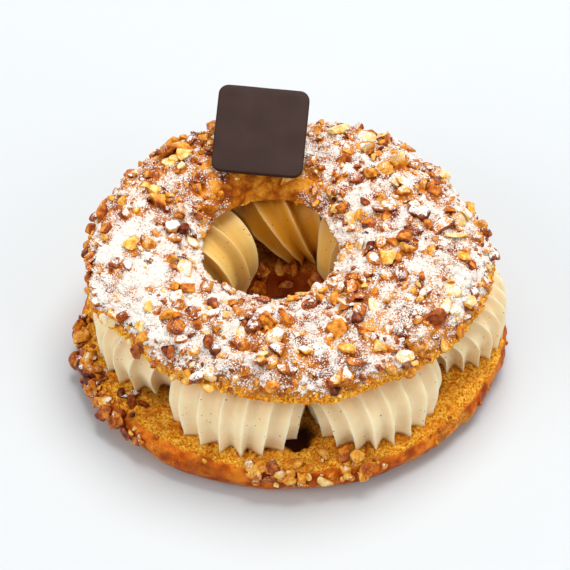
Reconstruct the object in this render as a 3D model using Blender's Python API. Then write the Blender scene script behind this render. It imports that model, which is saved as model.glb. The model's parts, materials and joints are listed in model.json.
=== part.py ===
"""A paris-brest: a ring of choux pastry cut in two, filled with piped praline cream, with a chocolate plaque.

Lengths are in metres and +Z is up. The ring lies flat on z = 0, with the middle of its outline on the Z axis.
"""

import math

import bpy
from mathutils import Matrix, Vector

GAP = 0.0003

# The shells' common middle. Shell 4 swells outward, so this is a little off the middle of the whole outline.
RING_MIDDLE = (-0.0014, -0.0002)

# Lower half of the choux ring: a flat foot, a rounded side and a level cut face.
BASE_RADIUS = 0.0546
BASE_CENTRE = (0.0007, 0.0002)
BASE_HOLE_RADIUS = 0.0151
BASE_HEIGHT = 0.0095
BASE_FOOT_INSET = 0.0042
# Places where the rim swells out: direction in degrees, spread in degrees, height.
BASE_SWELLS = (
    (236.0, 22.0, 0.0012),
    (278.0, 20.0, 0.0008),
    (352.0, 16.0, 0.0008),
)

# Upper half: a low dome whose hole is a little off centre.
LID_RADIUS = 0.0502
LID_CENTRE = (0.0002, -0.0010)
LID_HOLE_RADIUS = 0.0178
LID_HOLE_CENTRE = (-0.0046, 0.0036)
LID_UNDERSIDE = 0.0290
LID_CROWN = 0.0098
# Places where the rim is drawn in: direction in degrees, spread in degrees, depth.
LID_DENTS = (
    (27.0, 20.0, 0.0012),
    (95.0, 30.0, 0.0006),
    (215.0, 10.0, 0.0022),
    (245.0, 8.0, 0.0014),
    (310.0, 24.0, 0.0008),
)

# Piped cream: one fluted shell after another round the ring. A shell is a fluted tube bent over a hinge line
# like an arch. Its fat outer leg stands near the rim, and its narrow inner leg comes down beside the hole.
SHELL_HINGE_RADIUS = 0.0275
SHELL_OUTER_RADIUS = 0.0522
SHELL_HALF_WIDTH = 0.0170
SHELL_TOP_HALF_WIDTH = 0.0132
SHELL_INNER_HALF_WIDTH = 0.0066
SHELL_PINCH = 0.0010
# How square the arch's shoulder is outside and inside, and how far each leg draws in to its foot.
SHELL_OUTER_SHOULDER = 4.0
SHELL_INNER_SHOULDER = 2.6
SHELL_OUTER_TUCK = 0.045
SHELL_INNER_TUCK = 0.14
SHELL_TUCK_END = 0.30
SHELL_FLUTE_DEPTH = 0.0016
# Inside, the flutes merge in pairs to broader, deeper folds, between these two travels.
SHELL_FOLD_DEPTH = 0.0024
SHELL_FOLD_START = 0.80
SHELL_FOLD_END = 1.25
SHELL_LEG_RINGS = 5

# Each shell: direction in degrees, flutes, nearest reach to the ring's middle, sideways sweep of the inner
# leg, outward swell, how far the flutes lean in the outer leg, and the folds' twist in the inner leg.
SHELLS = (
    (199.5, 16, 0.0145, 0.0000, -0.0008, -0.0040, 0.0000),
    (251.0, 16, 0.0150, 0.0010, 0.0000, 0.0005, -0.0010),
    (303.0, 18, 0.0145, 0.0000, 0.0016, -0.0025, 0.0010),
    (353.0, 22, 0.0150, -0.0010, 0.0050, -0.0025, 0.0000),
    (46.0, 18, 0.0116, -0.0030, 0.0006, -0.0020, 0.0000),
    (95.0, 18, 0.0156, -0.0060, -0.0010, -0.0020, -0.0030),
    (144.0, 18, 0.0104, 0.0010, 0.0000, -0.0020, 0.0000),
)
WALL_SWEEP_OUTER = 0.036
WALL_SWEEP_INNER = 0.014

# Chocolate plaque: a square wafer that leans back over the crown of the lid.
PLAQUE_SIDE = 0.0238
PLAQUE_THICKNESS = 0.0017
PLAQUE_CORNER_RADIUS = 0.0027
PLAQUE_EDGE_BEVEL = 0.0003
PLAQUE_CENTRE = (-0.0071, 0.0325, 0.0448)
PLAQUE_SLOPE = math.radians(28.0)
PLAQUE_TURN = math.radians(-5.6)

RING_SEGMENTS = 56


def clear_scene():
    for obj in list(bpy.data.objects):
        bpy.data.objects.remove(obj, do_unlink=True)


def material(name, colour, roughness):
    made = bpy.data.materials.new(name)
    made.use_nodes = True
    shader = made.node_tree.nodes["Principled BSDF"]
    shader.inputs["Base Color"].default_value = (*colour, 1.0)
    shader.inputs["Roughness"].default_value = roughness
    return made


def add_object(name, points, faces, skin, smooth=True):
    mesh = bpy.data.meshes.new(name)
    moved = [(x + RING_MIDDLE[0], y + RING_MIDDLE[1], z) for x, y, z in points]
    mesh.from_pydata(moved, [], faces)
    mesh.validate()
    mesh.update()
    mesh.materials.append(skin)
    for face in mesh.polygons:
        face.use_smooth = smooth
    obj = bpy.data.objects.new(name, mesh)
    bpy.context.scene.collection.objects.link(obj)
    return obj


def wavy(angle, terms):
    """Sum of (waves round the ring, height, phase in degrees)."""
    return sum(height * math.cos(count * angle + math.radians(phase)) for count, height, phase in terms)


def local_terms(angle, terms):
    """Sum of rounded bumps, each (direction in degrees, spread in degrees, height)."""
    total = 0.0
    for direction, spread, height in terms:
        away = (math.degrees(angle) - direction + 180.0) % 360.0 - 180.0
        total += height * math.exp(-((away / spread) ** 2))
    return total


def ring_solid(name, outline, skin, segments=RING_SEGMENTS):
    """A closed ring. outline(angle) gives one loop of points, from the outside over the top."""
    loops = [outline(2.0 * math.pi * step / segments) for step in range(segments)]
    around = len(loops[0])
    points = [point for loop in loops for point in loop]
    faces = []
    for i in range(segments):
        here = i * around
        there = (i + 1) % segments * around
        for j in range(around):
            k = (j + 1) % around
            faces.append((here + j, there + j, there + k, here + k))
    return add_object(name, points, faces, skin)


def across_ring(inner, outer, share, height):
    """A point share of the way from the hole's edge to the outer edge."""
    return (
        inner[0] + share * (outer[0] - inner[0]),
        inner[1] + share * (outer[1] - inner[1]),
        height,
    )


def base_outline(angle):
    radius = BASE_RADIUS + wavy(angle, ((2, 0.0005, 0.0), (3, 0.0004, 60.0), (7, 0.0002, 20.0)))
    radius += local_terms(angle, BASE_SWELLS)
    hole = BASE_HOLE_RADIUS + wavy(angle, ((2, 0.0004, 80.0), (3, 0.0003, 10.0)))
    cosine = math.cos(angle)
    sine = math.sin(angle)
    outer = (BASE_CENTRE[0] + radius * cosine, BASE_CENTRE[1] + radius * sine)
    inner = (hole * cosine, hole * sine)
    foot = 1.0 - BASE_FOOT_INSET / (radius - hole)
    profile = (
        (foot, 0.0),
        (0.960, 0.18),
        (0.990, 0.40),
        (1.000, 0.62),
        (0.986, 0.83),
        (0.955, 0.95),
        (0.910, 1.00),
        (0.500, 1.00),
        (0.085, 1.00),
        (0.058, 0.90),
        (0.040, 0.62),
        (0.020, 0.30),
        (0.000, 0.00),
    )
    return [across_ring(inner, outer, share, BASE_HEIGHT * level) for share, level in profile]


def lid_outline(angle):
    radius = LID_RADIUS + wavy(angle, ((2, 0.0015, 0.0), (5, 0.0003, 40.0), (9, 0.0003, 0.0)))
    radius -= local_terms(angle, LID_DENTS)
    hole = LID_HOLE_RADIUS + wavy(angle, ((2, -0.0005, 0.0), (3, 0.0003, 100.0), (5, 0.0003, 30.0)))
    crown = LID_CROWN + wavy(angle, ((1, 0.0003, -90.0), (3, 0.0004, 20.0), (5, 0.0003, 80.0)))
    cosine = math.cos(angle)
    sine = math.sin(angle)
    outer = (LID_CENTRE[0] + radius * cosine, LID_CENTRE[1] + radius * sine)
    inner = (LID_HOLE_CENTRE[0] + hole * cosine, LID_HOLE_CENTRE[1] + hole * sine)
    # The slope down to the hole is steep at the back of the ring and easier at its front.
    easy = 0.5 - 0.5 * sine
    profile = (
        (0.988, 0.00),
        (1.000, 0.09),
        (0.994, 0.28),
        (0.965, 0.52),
        (0.905, 0.74),
        (0.800, 0.91),
        (0.640, 1.00),
        (0.440 + 0.04 * easy, 0.98),
        (0.255 + 0.055 * easy, 0.845),
        (0.125 + 0.045 * easy, 0.61),
        (0.035 + 0.03 * easy, 0.34),
        (0.000, 0.12),
        (0.012, 0.00),
    )
    return [
        across_ring(inner, outer, share, LID_UNDERSIDE + crown * level) for share, level in profile
    ]


def ease(value):
    value = min(max(value, 0.0), 1.0)
    return value * value * (3.0 - 2.0 * value)


def blend(start, end, share):
    return start + (end - start) * share


def bent_power(value, power):
    return math.copysign(abs(value) ** power, value)


def even_loop(half_long, half_wide, squareness, count, shift):
    """count points evenly spaced round a superellipse. shift is a length along its rim."""
    samples = 240
    rim = []
    for step in range(samples + 1):
        angle = 2.0 * math.pi * step / samples
        rim.append(
            (
                half_long * bent_power(math.cos(angle), 2.0 / squareness),
                half_wide * bent_power(math.sin(angle), 2.0 / squareness),
            )
        )
    lengths = [0.0]
    for first, second in zip(rim, rim[1:]):
        lengths.append(lengths[-1] + math.dist(first, second))
    whole = lengths[-1]
    points = []
    for step in range(count):
        wanted = (whole * step / count + shift) % whole
        place = max(index for index, length in enumerate(lengths[:-1]) if length <= wanted)
        share = (wanted - lengths[place]) / (lengths[place + 1] - lengths[place])
        first = rim[place]
        second = rim[place + 1]
        points.append((blend(first[0], second[0], share), blend(first[1], second[1], share)))
    return points


def shell_section(shell, travel):
    """The cut through a shell at travel: 0 at its outer foot, 1 at its top and 2 at its inner foot.

    It gives the tilt of the cut, its far reach from the hinge line, and its half width.
    """
    _, _, tail_end, _, swell, _, _ = shell
    height = LID_UNDERSIDE - BASE_HEIGHT - 2.0 * GAP
    if travel <= 1.0:
        leg = SHELL_OUTER_RADIUS + swell - SHELL_HINGE_RADIUS
        power = SHELL_OUTER_SHOULDER
        tuck = SHELL_OUTER_TUCK
        wide = blend(SHELL_HALF_WIDTH, SHELL_TOP_HALF_WIDTH, ease(2.0 * travel - 1.0))
    else:
        leg = SHELL_HINGE_RADIUS - tail_end
        power = SHELL_INNER_SHOULDER
        tuck = SHELL_INNER_TUCK
        wide = blend(SHELL_TOP_HALF_WIDTH, SHELL_INNER_HALF_WIDTH, ease(travel - 1.0))
    tilt = 0.5 * math.pi * travel
    total = (abs(math.cos(tilt)) / leg) ** power + (abs(math.sin(tilt)) / height) ** power
    kept = 1.0 - tuck * (1.0 - ease(min(travel, 2.0 - travel) / SHELL_TUCK_END))
    return tilt, kept * total ** (-1.0 / power), kept * wide


def wall_angle(radius, height, middle, sweep):
    """Where one shell meets the next. Towards the hole and the floor it bends with the inner legs."""
    inward = ease((WALL_SWEEP_OUTER - radius) / (WALL_SWEEP_OUTER - WALL_SWEEP_INNER))
    lowness = (LID_UNDERSIDE - height) / (LID_UNDERSIDE - BASE_HEIGHT)
    return middle + sweep * inward * blend(0.2, 1.0, lowness)


def shell_placer(index):
    """A function from (x outward, y sideways, z) beside a shell to its place in the ring."""
    heading, _, _, bend, _, _, _ = SHELLS[index]
    before = SHELLS[index - 1]
    after = SHELLS[(index + 1) % len(SHELLS)]
    half_before = math.radians(((heading - before[0]) % 360.0) / 2.0)
    half_after = math.radians(((after[0] - heading) % 360.0) / 2.0)
    sweep_scale = 0.5 / WALL_SWEEP_INNER
    floor = BASE_HEIGHT + GAP
    ceiling = LID_UNDERSIDE - GAP

    def place(x, y, z):
        z = min(max(z, floor), ceiling)
        radius = math.hypot(x, y)
        spare = 0.55 * GAP / radius
        low = wall_angle(radius, z, -half_before, (bend + before[3]) * sweep_scale) + spare
        high = wall_angle(radius, z, half_after, (bend + after[3]) * sweep_scale) - spare
        turn = min(max(math.atan2(y, x), low), high) + math.radians(heading)
        return Vector((radius * math.cos(turn), radius * math.sin(turn), z))

    return place


def groove_depth(step, travel):
    """How far a point is drawn in. Every second step is a crest outside, and every fourth inside."""
    narrow = SHELL_FLUTE_DEPTH * (step % 2)
    broad = SHELL_FOLD_DEPTH * math.sin(0.25 * math.pi * (step % 4))
    merged = ease((travel - SHELL_FOLD_START) / (SHELL_FOLD_END - SHELL_FOLD_START))
    return blend(narrow, broad, merged)


def shell_points(index):
    shell = SHELLS[index]
    _, flutes, tail_end, bend, _, lean, twist = shell
    place = shell_placer(index)
    floor = BASE_HEIGHT + GAP
    points = []
    for ring in range(2 * SHELL_LEG_RINGS + 1):
        travel = ring / SHELL_LEG_RINGS
        tilt, far, wide = shell_section(shell, travel)
        middle = 0.5 * (SHELL_PINCH + far)
        half_long = 0.5 * (far - SHELL_PINCH)
        squareness = blend(2.1, 2.7, ease(2.0 * travel))
        shift = -lean * (1.0 - min(travel, 1.0)) + twist * ease(travel - 1.0)
        swept = bend * ease((travel - 0.8) / 1.2)
        for step, (long, side) in enumerate(even_loop(half_long, wide, squareness, 2 * flutes, shift)):
            depth = groove_depth(step, travel) * min(1.0, (middle + long) / 0.008)
            scale = 1.0 - depth / math.hypot(long, side)
            reach = middle + long * scale
            outward = SHELL_HINGE_RADIUS + reach * math.cos(tilt)
            points.append(place(outward, side * scale + swept, floor + reach * math.sin(tilt)))
    points.append(place(0.5 * (SHELL_HINGE_RADIUS + SHELL_OUTER_RADIUS), 0.0, floor))
    points.append(place(0.5 * (SHELL_HINGE_RADIUS + tail_end), bend, floor))
    return points


def shell_faces(flutes):
    steps = 2 * flutes
    rings = 2 * SHELL_LEG_RINGS + 1
    outer_foot = rings * steps
    inner_foot = outer_foot + 1
    last = (rings - 1) * steps
    faces = []
    for step in range(steps):
        after = (step + 1) % steps
        faces.append((outer_foot, after, step))
        faces.append((inner_foot, last + step, last + after))
    for ring in range(rings - 1):
        start = ring * steps
        for step in range(steps):
            after = (step + 1) % steps
            faces.append((start + step, start + after, start + steps + after, start + steps + step))
    return faces


def cream_shell(index, skin):
    faces = shell_faces(SHELLS[index][1])
    return add_object(f"cream_shell_{index + 1}", shell_points(index), faces, skin)


def plaque_outline(inset):
    """The rounded square of the plaque, drawn in by inset."""
    reach = 0.5 * PLAQUE_SIDE - PLAQUE_CORNER_RADIUS
    radius = PLAQUE_CORNER_RADIUS - inset
    corners = ((1, 1), (-1, 1), (-1, -1), (1, -1))
    steps = 5
    points = []
    for quarter, (side_x, side_y) in enumerate(corners):
        for step in range(steps + 1):
            angle = math.radians(90.0 * (quarter + step / steps))
            x = side_x * reach + radius * math.cos(angle)
            y = side_y * reach + radius * math.sin(angle)
            points.append((x, y))
    return points


def chocolate_plaque(skin):
    bevel = PLAQUE_EDGE_BEVEL
    levels = (
        (bevel, -PLAQUE_THICKNESS),
        (0.0, bevel - PLAQUE_THICKNESS),
        (0.0, -bevel),
        (bevel, 0.0),
    )
    place = (
        Matrix.Translation(Vector(PLAQUE_CENTRE))
        @ Matrix.Rotation(PLAQUE_SLOPE, 4, "X")
        @ Matrix.Rotation(PLAQUE_TURN, 4, "Z")
    )
    points = []
    for inset, height in levels:
        points += [place @ Vector((x, y, height)) for x, y in plaque_outline(inset)]
    around = len(points) // len(levels)
    faces = [tuple(reversed(range(around))), tuple(range(3 * around, 4 * around))]
    for level in range(len(levels) - 1):
        start = level * around
        for step in range(around):
            after = (step + 1) % around
            faces.append((start + step, start + after, start + around + after, start + around + step))
    return add_object("chocolate_plaque", points, faces, skin, smooth=False)


def main():
    clear_scene()
    crust = material("choux_crust", (0.56, 0.26, 0.07), 0.65)
    browned = material("choux_crust_browned", (0.62, 0.31, 0.10), 0.65)
    cream = material("praline_cream", (0.80, 0.64, 0.40), 0.45)
    chocolate = material("dark_chocolate", (0.055, 0.030, 0.024), 0.40)
    ring_solid("base_crust", base_outline, crust)
    ring_solid("top_crust", lid_outline, browned)
    for index in range(len(SHELLS)):
        cream_shell(index, cream)
    chocolate_plaque(chocolate)


main()
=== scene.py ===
"""Looks of the paris-brest: fine crusts, piped cream, chopped nuts, powdered sugar and the chocolate plaque.

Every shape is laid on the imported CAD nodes: smooth forms are fitted to the nodes' boxes and then roughened.
Lengths are in metres. Directions are in degrees, from +X towards +Y.
"""

import json
import math

import bmesh
import bpy
import numpy as np
from mathutils import Matrix, Vector


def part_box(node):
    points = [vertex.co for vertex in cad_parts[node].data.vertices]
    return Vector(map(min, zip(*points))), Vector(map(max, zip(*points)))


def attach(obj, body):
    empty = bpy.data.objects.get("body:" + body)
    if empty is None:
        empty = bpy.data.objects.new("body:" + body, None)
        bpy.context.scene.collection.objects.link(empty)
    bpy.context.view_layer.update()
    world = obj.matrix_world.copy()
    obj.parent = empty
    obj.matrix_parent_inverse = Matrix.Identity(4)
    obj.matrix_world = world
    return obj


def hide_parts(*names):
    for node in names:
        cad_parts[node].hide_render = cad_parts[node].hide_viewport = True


MM = 0.001
# Each crust's dark, middle and light colour.
LID_COLOURS = ((0.24, 0.045, 0.003), (0.52, 0.145, 0.006), (0.80, 0.33, 0.030))
BASE_COLOURS = ((0.34, 0.044, 0.002), (0.63, 0.114, 0.004), (0.86, 0.26, 0.016))

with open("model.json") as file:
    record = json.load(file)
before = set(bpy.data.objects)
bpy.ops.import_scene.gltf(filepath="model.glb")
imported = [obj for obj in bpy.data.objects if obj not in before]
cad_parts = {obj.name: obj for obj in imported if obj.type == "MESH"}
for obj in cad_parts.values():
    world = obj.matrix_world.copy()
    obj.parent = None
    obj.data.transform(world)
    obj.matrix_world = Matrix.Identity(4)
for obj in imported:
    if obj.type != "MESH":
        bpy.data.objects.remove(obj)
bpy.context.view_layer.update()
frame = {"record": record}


# ---------------------------------------------------------------- noise

CORNERS = [(x, y, z) for x in (0, 1) for y in (0, 1) for z in (0, 1)]
NEIGHBOURS = [(x, y, z) for x in (-1, 0, 1) for y in (-1, 0, 1) for z in (-1, 0, 1)]


def scrambled(at, seed):
    """A number from 0 to 1 for each whole-number place, the same on every run."""
    mixed = (at[..., 0] * 73856093) ^ (at[..., 1] * 19349663) ^ (at[..., 2] * 83492791) ^ (seed * 2654435761)
    mixed = mixed & 0xFFFFFFFF
    for _ in range(2):
        mixed = ((mixed ^ (mixed >> 16)) * 0x45D9F3B) & 0xFFFFFFFF
    return (mixed ^ (mixed >> 16)) / 0xFFFFFFFF


def noise(points, size, seed):
    """Smooth bumps from about -1 to 1, one bump to each size metres."""
    placed = np.asarray(points) / size
    whole = np.floor(placed).astype(np.int64)
    part = placed - whole
    fade = part**3 * (part * (part * 6.0 - 15.0) + 10.0)
    total = np.zeros(placed.shape[:-1])
    for corner in CORNERS:
        at = whole + np.array(corner)
        weight = np.ones(placed.shape[:-1])
        slope = np.zeros(placed.shape[:-1])
        for axis in range(3):
            share = fade[..., axis]
            weight = weight * (share if corner[axis] else 1.0 - share)
            pull = 2.0 * scrambled(at, seed * 3 + axis) - 1.0
            slope = slope + pull * (part[..., axis] - corner[axis])
        total = total + weight * slope
    return 1.6 * total


def fractal(points, size, seed, octaves=3):
    return sum(0.5**step * noise(points, size / 2**step, seed + step) for step in range(octaves))


def bumps(points, *terms):
    """Noises added up, each with its height, its size in millimetres and its seed."""
    return sum(height * noise(points, size * MM, seed) for height, size, seed in terms)


def shaken(points, size, seed):
    """A noise for each axis."""
    return np.stack([noise(points, size, seed + axis) for axis in range(3)], axis=-1)


def pores(points, size, seed):
    """Distance to the nearest scattered centre, in units of size."""
    placed = np.asarray(points) / size
    whole = np.floor(placed).astype(np.int64)
    nearest = np.full(placed.shape[:-1], 9.0)
    for neighbour in NEIGHBOURS:
        at = whole + np.array(neighbour)
        centre = np.stack([at[..., axis] + scrambled(at, seed * 3 + axis) for axis in range(3)], axis=-1)
        nearest = np.minimum(nearest, np.linalg.norm(placed - centre, axis=-1))
    return nearest


def ease(value):
    value = np.clip(value, 0.0, 1.0)
    return value * value * (3.0 - 2.0 * value)


def blend(start, end, share):
    return start + (end - start) * share


def near_direction(degrees, middle, spread):
    away = (degrees - middle + 180.0) % 360.0 - 180.0
    return np.exp(-((away / spread) ** 2))


def drifts(degrees, terms):
    """What gathers in some directions, each given as its direction, its spread and how much."""
    return sum(more * near_direction(degrees, middle, spread) for middle, spread, more in terms)


# ---------------------------------------------------------------- materials


class Skin:
    """A Principled material and short ways to add nodes to it."""

    def __init__(self, name):
        self.material = bpy.data.materials.new(name)
        self.material.use_nodes = True
        self.tree = self.material.node_tree
        self.shader = self.tree.nodes["Principled BSDF"]
        self.place = self.add("ShaderNodeTexCoord").outputs["Object"]

    def add(self, kind, **settings):
        node = self.tree.nodes.new(kind)
        for name, value in settings.items():
            setattr(node, name, value)
        return node

    def feed(self, sockets, values):
        """Links each socket to a node's output, or sets it to a number or a colour."""
        for socket, value in zip(sockets, values):
            if isinstance(value, bpy.types.NodeSocket):
                self.tree.links.new(value, socket)
            elif socket.type == "RGBA":
                socket.default_value = (*value, 1.0)
            else:
                socket.default_value = value

    def wire(self, node, **inputs):
        """Feeds the node's inputs by name, with _ for a space."""
        self.feed([node.inputs[name.replace("_", " ")] for name in inputs], inputs.values())
        return node

    def noise(self, size, detail=3.0, roughness=0.55):
        node = self.add("ShaderNodeTexNoise")
        self.wire(node, Vector=self.place, Scale=1.0 / size, Detail=detail, Roughness=roughness)
        return node.outputs["Fac"]

    def attribute(self, name):
        return self.add("ShaderNodeAttribute", attribute_name=name).outputs["Fac"]

    def ramp(self, source, *stops):
        node = self.wire(self.add("ShaderNodeValToRGB"), Fac=source)
        while len(node.color_ramp.elements) < len(stops):
            node.color_ramp.elements.new(0.5)
        for element, (position, colour) in zip(node.color_ramp.elements, stops):
            element.position = position
            element.color = (*colour, 1.0)
        return node.outputs["Color"]

    def level(self, source, low, high, bottom=0.0, top=1.0):
        node = self.add("ShaderNodeMapRange", clamp=True)
        self.wire(node, Value=source, From_Min=low, From_Max=high, To_Min=bottom, To_Max=top)
        return node.outputs["Result"]

    def maths(self, operation, first, second):
        node = self.add("ShaderNodeMath", operation=operation)
        self.feed(node.inputs, (first, second))
        return node.outputs["Value"]

    def mix(self, share, first, second):
        node = self.add("ShaderNodeMix", data_type="RGBA")
        self.feed([socket for socket in node.inputs if socket.enabled], (share, first, second))
        return [socket for socket in node.outputs if socket.enabled][0]

    def bump(self, height, distance, strength, under=None):
        node = self.wire(self.add("ShaderNodeBump"), Height=height, Distance=distance, Strength=strength)
        if under is not None:
            self.wire(node, Normal=under)
        return node.outputs["Normal"]

    def finish(self, colour, roughness, specular=0.5, normal=None, spread=None):
        """The finished material. spread is how much light spreads inside it, how far and in which colours."""
        self.wire(self.shader, Base_Color=colour, Roughness=roughness, Specular_IOR_Level=specular)
        if normal is not None:
            self.wire(self.shader, Normal=normal)
        if spread is not None:
            share, far, radius = spread
            self.wire(self.shader, Subsurface_Weight=share, Subsurface_Scale=far, Subsurface_Radius=radius)
        return self.material


def sugared(skin, base, gloss, normal, height, strength):
    """Powdered sugar over a colour, gloss and normal. Its grains close up as the dust attribute nears 1."""
    grains = skin.noise(0.46 * MM, 2.0, 0.75)
    clumps = skin.noise(1.5 * MM, 2.0)
    speckle = skin.maths("ADD", skin.maths("MULTIPLY", grains, 0.78), skin.maths("MULTIPLY", clumps, 0.22))
    heaped = skin.maths("ADD", speckle, skin.level(skin.attribute("dust"), 0.0, 1.0, -0.245, 0.200))
    mask = skin.level(heaped, 0.468, 0.532)
    white = skin.ramp(
        skin.noise(1.6 * MM),
        (0.34, (0.86, 0.73, 0.64)),
        (0.48, (0.92, 0.845, 0.775)),
        (0.60, (0.94, 0.89, 0.84)),
    )
    base = skin.mix(mask, base, white)
    gloss = skin.maths("MAXIMUM", gloss, skin.maths("MULTIPLY", mask, 0.9))
    return base, gloss, skin.bump(skin.maths("MULTIPLY", grains, mask), height, strength, normal)


def crust_skin(name, dark, middle, light, dusted):
    skin = Skin(name)
    base = skin.ramp(skin.noise(5.0 * MM, 5.0, 0.6), (0.39, dark), (0.50, middle), (0.62, light))
    freckles = skin.level(skin.noise(1.1 * MM), 0.58, 0.70)
    base = skin.mix(freckles, base, skin.mix(0.55, base, dark))
    crumb = skin.ramp(
        skin.noise(0.7 * MM, 4.0, 0.7),
        (0.38, (0.46, 0.105, 0.003)),
        (0.48, (0.86, 0.330, 0.012)),
        (0.60, (1.0, 0.64, 0.100)),
    )
    baked = skin.level(skin.noise(4.5 * MM), 0.46, 0.64, 0.0, 0.60)
    crumb = skin.mix(baked, crumb, (0.66, 0.155, 0.004))
    base = skin.mix(skin.attribute("crumb"), base, crumb)
    # One darker colour for scorched, browned crust and for painted shade round the nuts and in the hole.
    base = skin.mix(skin.attribute("scorch"), base, (0.25, 0.030, 0.001))
    # Painted shade: the hollows between the shells are coloured nearly black.
    base = skin.mix(skin.attribute("pit"), base, (0.045, 0.011, 0.004))
    normal = skin.bump(skin.noise(1.4 * MM, 3.0, 0.6), 0.50 * MM, 0.6)
    normal = skin.bump(skin.noise(0.6 * MM, 4.0, 0.65), 0.35 * MM, 0.6, normal)
    gloss = skin.level(skin.noise(2.6 * MM), 0.35, 0.7, 0.30, 0.55)
    gloss = skin.maths("MAXIMUM", gloss, skin.maths("MULTIPLY", skin.attribute("crumb"), 0.8))
    if dusted:
        base, gloss, normal = sugared(skin, base, gloss, normal, 0.45 * MM, 0.8)
    return skin.finish(base, gloss, 0.08, normal, (0.05, 1.0 * MM, (1.0, 0.45, 0.2)))


def nut_skin(name):
    skin = Skin(name)
    mottled = skin.level(skin.noise(1.3 * MM, 4.0), 0.3, 0.7, -0.20, 0.20)
    base = skin.ramp(
        skin.maths("ADD", skin.attribute("tone"), mottled),
        (0.00, (0.040, 0.006, 0.003)),
        (0.20, (0.16, 0.022, 0.003)),
        (0.40, (0.40, 0.082, 0.005)),
        (0.58, (0.66, 0.225, 0.014)),
        (0.76, (0.85, 0.440, 0.060)),
        (1.00, (0.93, 0.760, 0.370)),
    )
    gloss = skin.level(skin.noise(1.1 * MM), 0.3, 0.7, 0.16, 0.42)
    normal = skin.bump(skin.noise(0.8 * MM), 0.35 * MM, 0.6)
    base, gloss, normal = sugared(skin, base, gloss, normal, 0.30 * MM, 0.7)
    return skin.finish(base, gloss, 0.24, normal, (0.12, 0.8 * MM, (1.0, 0.4, 0.1)))


def cream_skin(name):
    skin = Skin(name)
    base = skin.ramp(skin.noise(6.0 * MM), (0.35, (0.863, 0.676, 0.392)), (0.65, (0.936, 0.760, 0.473)))
    # Painted shade: inside the ring the cream is coloured darker and orange, as it looks in shade.
    inner = skin.attribute("inner")
    for start, end, shade in (
        (0.0, 0.35, (0.90, 0.56, 0.13)),
        (0.35, 0.6, (0.55, 0.370, 0.115)),
        (0.6, 1.0, (0.68, 0.295, 0.012)),
    ):
        base = skin.mix(skin.level(inner, start, end), base, shade)
    # Painted highlight: the crests are coloured lighter, warmer inside the ring.
    crest = skin.attribute("crest")
    lit = skin.mix(skin.level(inner, 0.0, 0.6), (0.97, 0.86, 0.62), (0.88, 0.61, 0.24))
    base = skin.mix(skin.level(crest, 0.30, 1.0, 0.0, 0.75), base, lit)
    # Painted shade: the bottoms of the folds are coloured darker and redder inside the ring.
    painted_fold_shade = skin.maths("MULTIPLY", skin.level(crest, 0.0, 0.10, 0.35, 0.0), skin.level(inner, 0.2, 0.6))
    base = skin.mix(painted_fold_shade, base, (0.63, 0.270, 0.018))
    # Specks in two sizes: how far apart, how wide, and how many of the places have one.
    for size, radius, share in ((1.9 * MM, 0.11, 0.34), (1.2 * MM, 0.12, 0.22)):
        cells = skin.wire(skin.add("ShaderNodeTexVoronoi"), Vector=skin.place, Scale=1.0 / size)
        seen = skin.maths("LESS_THAN", cells.outputs["Distance"], radius)
        split = skin.wire(skin.add("ShaderNodeSeparateColor"), Color=cells.outputs["Color"])
        chosen = skin.maths("LESS_THAN", split.outputs["Red"], share)
        base = skin.mix(skin.maths("MULTIPLY", seen, chosen), base, (0.26, 0.140, 0.050))
    gloss = skin.level(skin.noise(2.5 * MM), 0.3, 0.7, 0.38, 0.52)
    normal = skin.bump(skin.noise(1.2 * MM, 4.0), 0.12 * MM, 0.35)
    return skin.finish(base, gloss, 0.25, normal, (0.45, 2.2 * MM, (1.0, 0.6, 0.3)))


def chocolate_skin(name):
    skin = Skin(name)
    patches = skin.noise(7.0 * MM, 5.0)
    base = skin.ramp(patches, (0.35, (0.035, 0.0178, 0.0146)), (0.65, (0.043, 0.0220, 0.0180)))
    gloss = skin.level(skin.noise(3.0 * MM, 4.0), 0.3, 0.7, 0.40, 0.52)
    return skin.finish(base, gloss, 0.10, skin.bump(skin.noise(1.5 * MM, 5.0), 0.04 * MM, 0.4))


def sugar_skin(name):
    skin = Skin(name)
    base = skin.ramp(skin.noise(3.0 * MM), (0.3, (0.89, 0.82, 0.75)), (0.7, (0.94, 0.89, 0.84)))
    return skin.finish(base, 0.85)


# ---------------------------------------------------------------- meshes


def added(name, data):
    """A new object in the scene."""
    obj = bpy.data.objects.new(name, data)
    bpy.context.scene.collection.objects.link(obj)
    return obj


def smooth_mesh(name, points, faces, material):
    mesh = bpy.data.meshes.new(name)
    mesh.from_pydata(np.asarray(points).reshape(-1, 3).tolist(), [], [list(face) for face in faces])
    mesh.update()
    mesh.materials.append(material)
    mesh.polygons.foreach_set("use_smooth", [True] * len(mesh.polygons))
    return mesh


def piece(name, points, faces, material, slot, replaced=(), crisp=None, **attributes):
    """A visible mesh on the part's one body. Edges sharper than crisp degrees stay sharp."""
    mesh = smooth_mesh(name, points, faces, material)
    for label, values in attributes.items():
        values = np.asarray(values, np.float32).ravel()
        mesh.attributes.new(label, "FLOAT", "POINT").data.foreach_set("value", values)
    if crisp is not None:
        mesh.set_sharp_from_angle(angle=math.radians(crisp))
    obj = added(name, mesh)
    if replaced:
        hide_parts(*replaced)
    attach(obj, "root")


def ring_faces(rows, columns):
    """Quads of a closed ring: rows round the Z axis, columns round each section."""
    i, j = np.meshgrid(np.arange(rows), np.arange(columns), indexing="ij")
    this, after = i * columns, (i + 1) % rows * columns
    next_j = (j + 1) % columns
    return np.stack([this + j, after + j, after + next_j, this + next_j], -1).reshape(-1, 4).tolist()


def capped_faces(rings, columns):
    """Faces of a tube of rings. The two points after the rings close its first ring and its last."""
    tip = rings * columns
    last = tip - columns
    faces = [(a, d, c, b) for a, b, c, d in ring_faces(rings, columns)[:last]]
    for step in range(columns):
        after = (step + 1) % columns
        faces += [(tip, after, step), (tip + 1, last + step, last + after)]
    return faces


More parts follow.
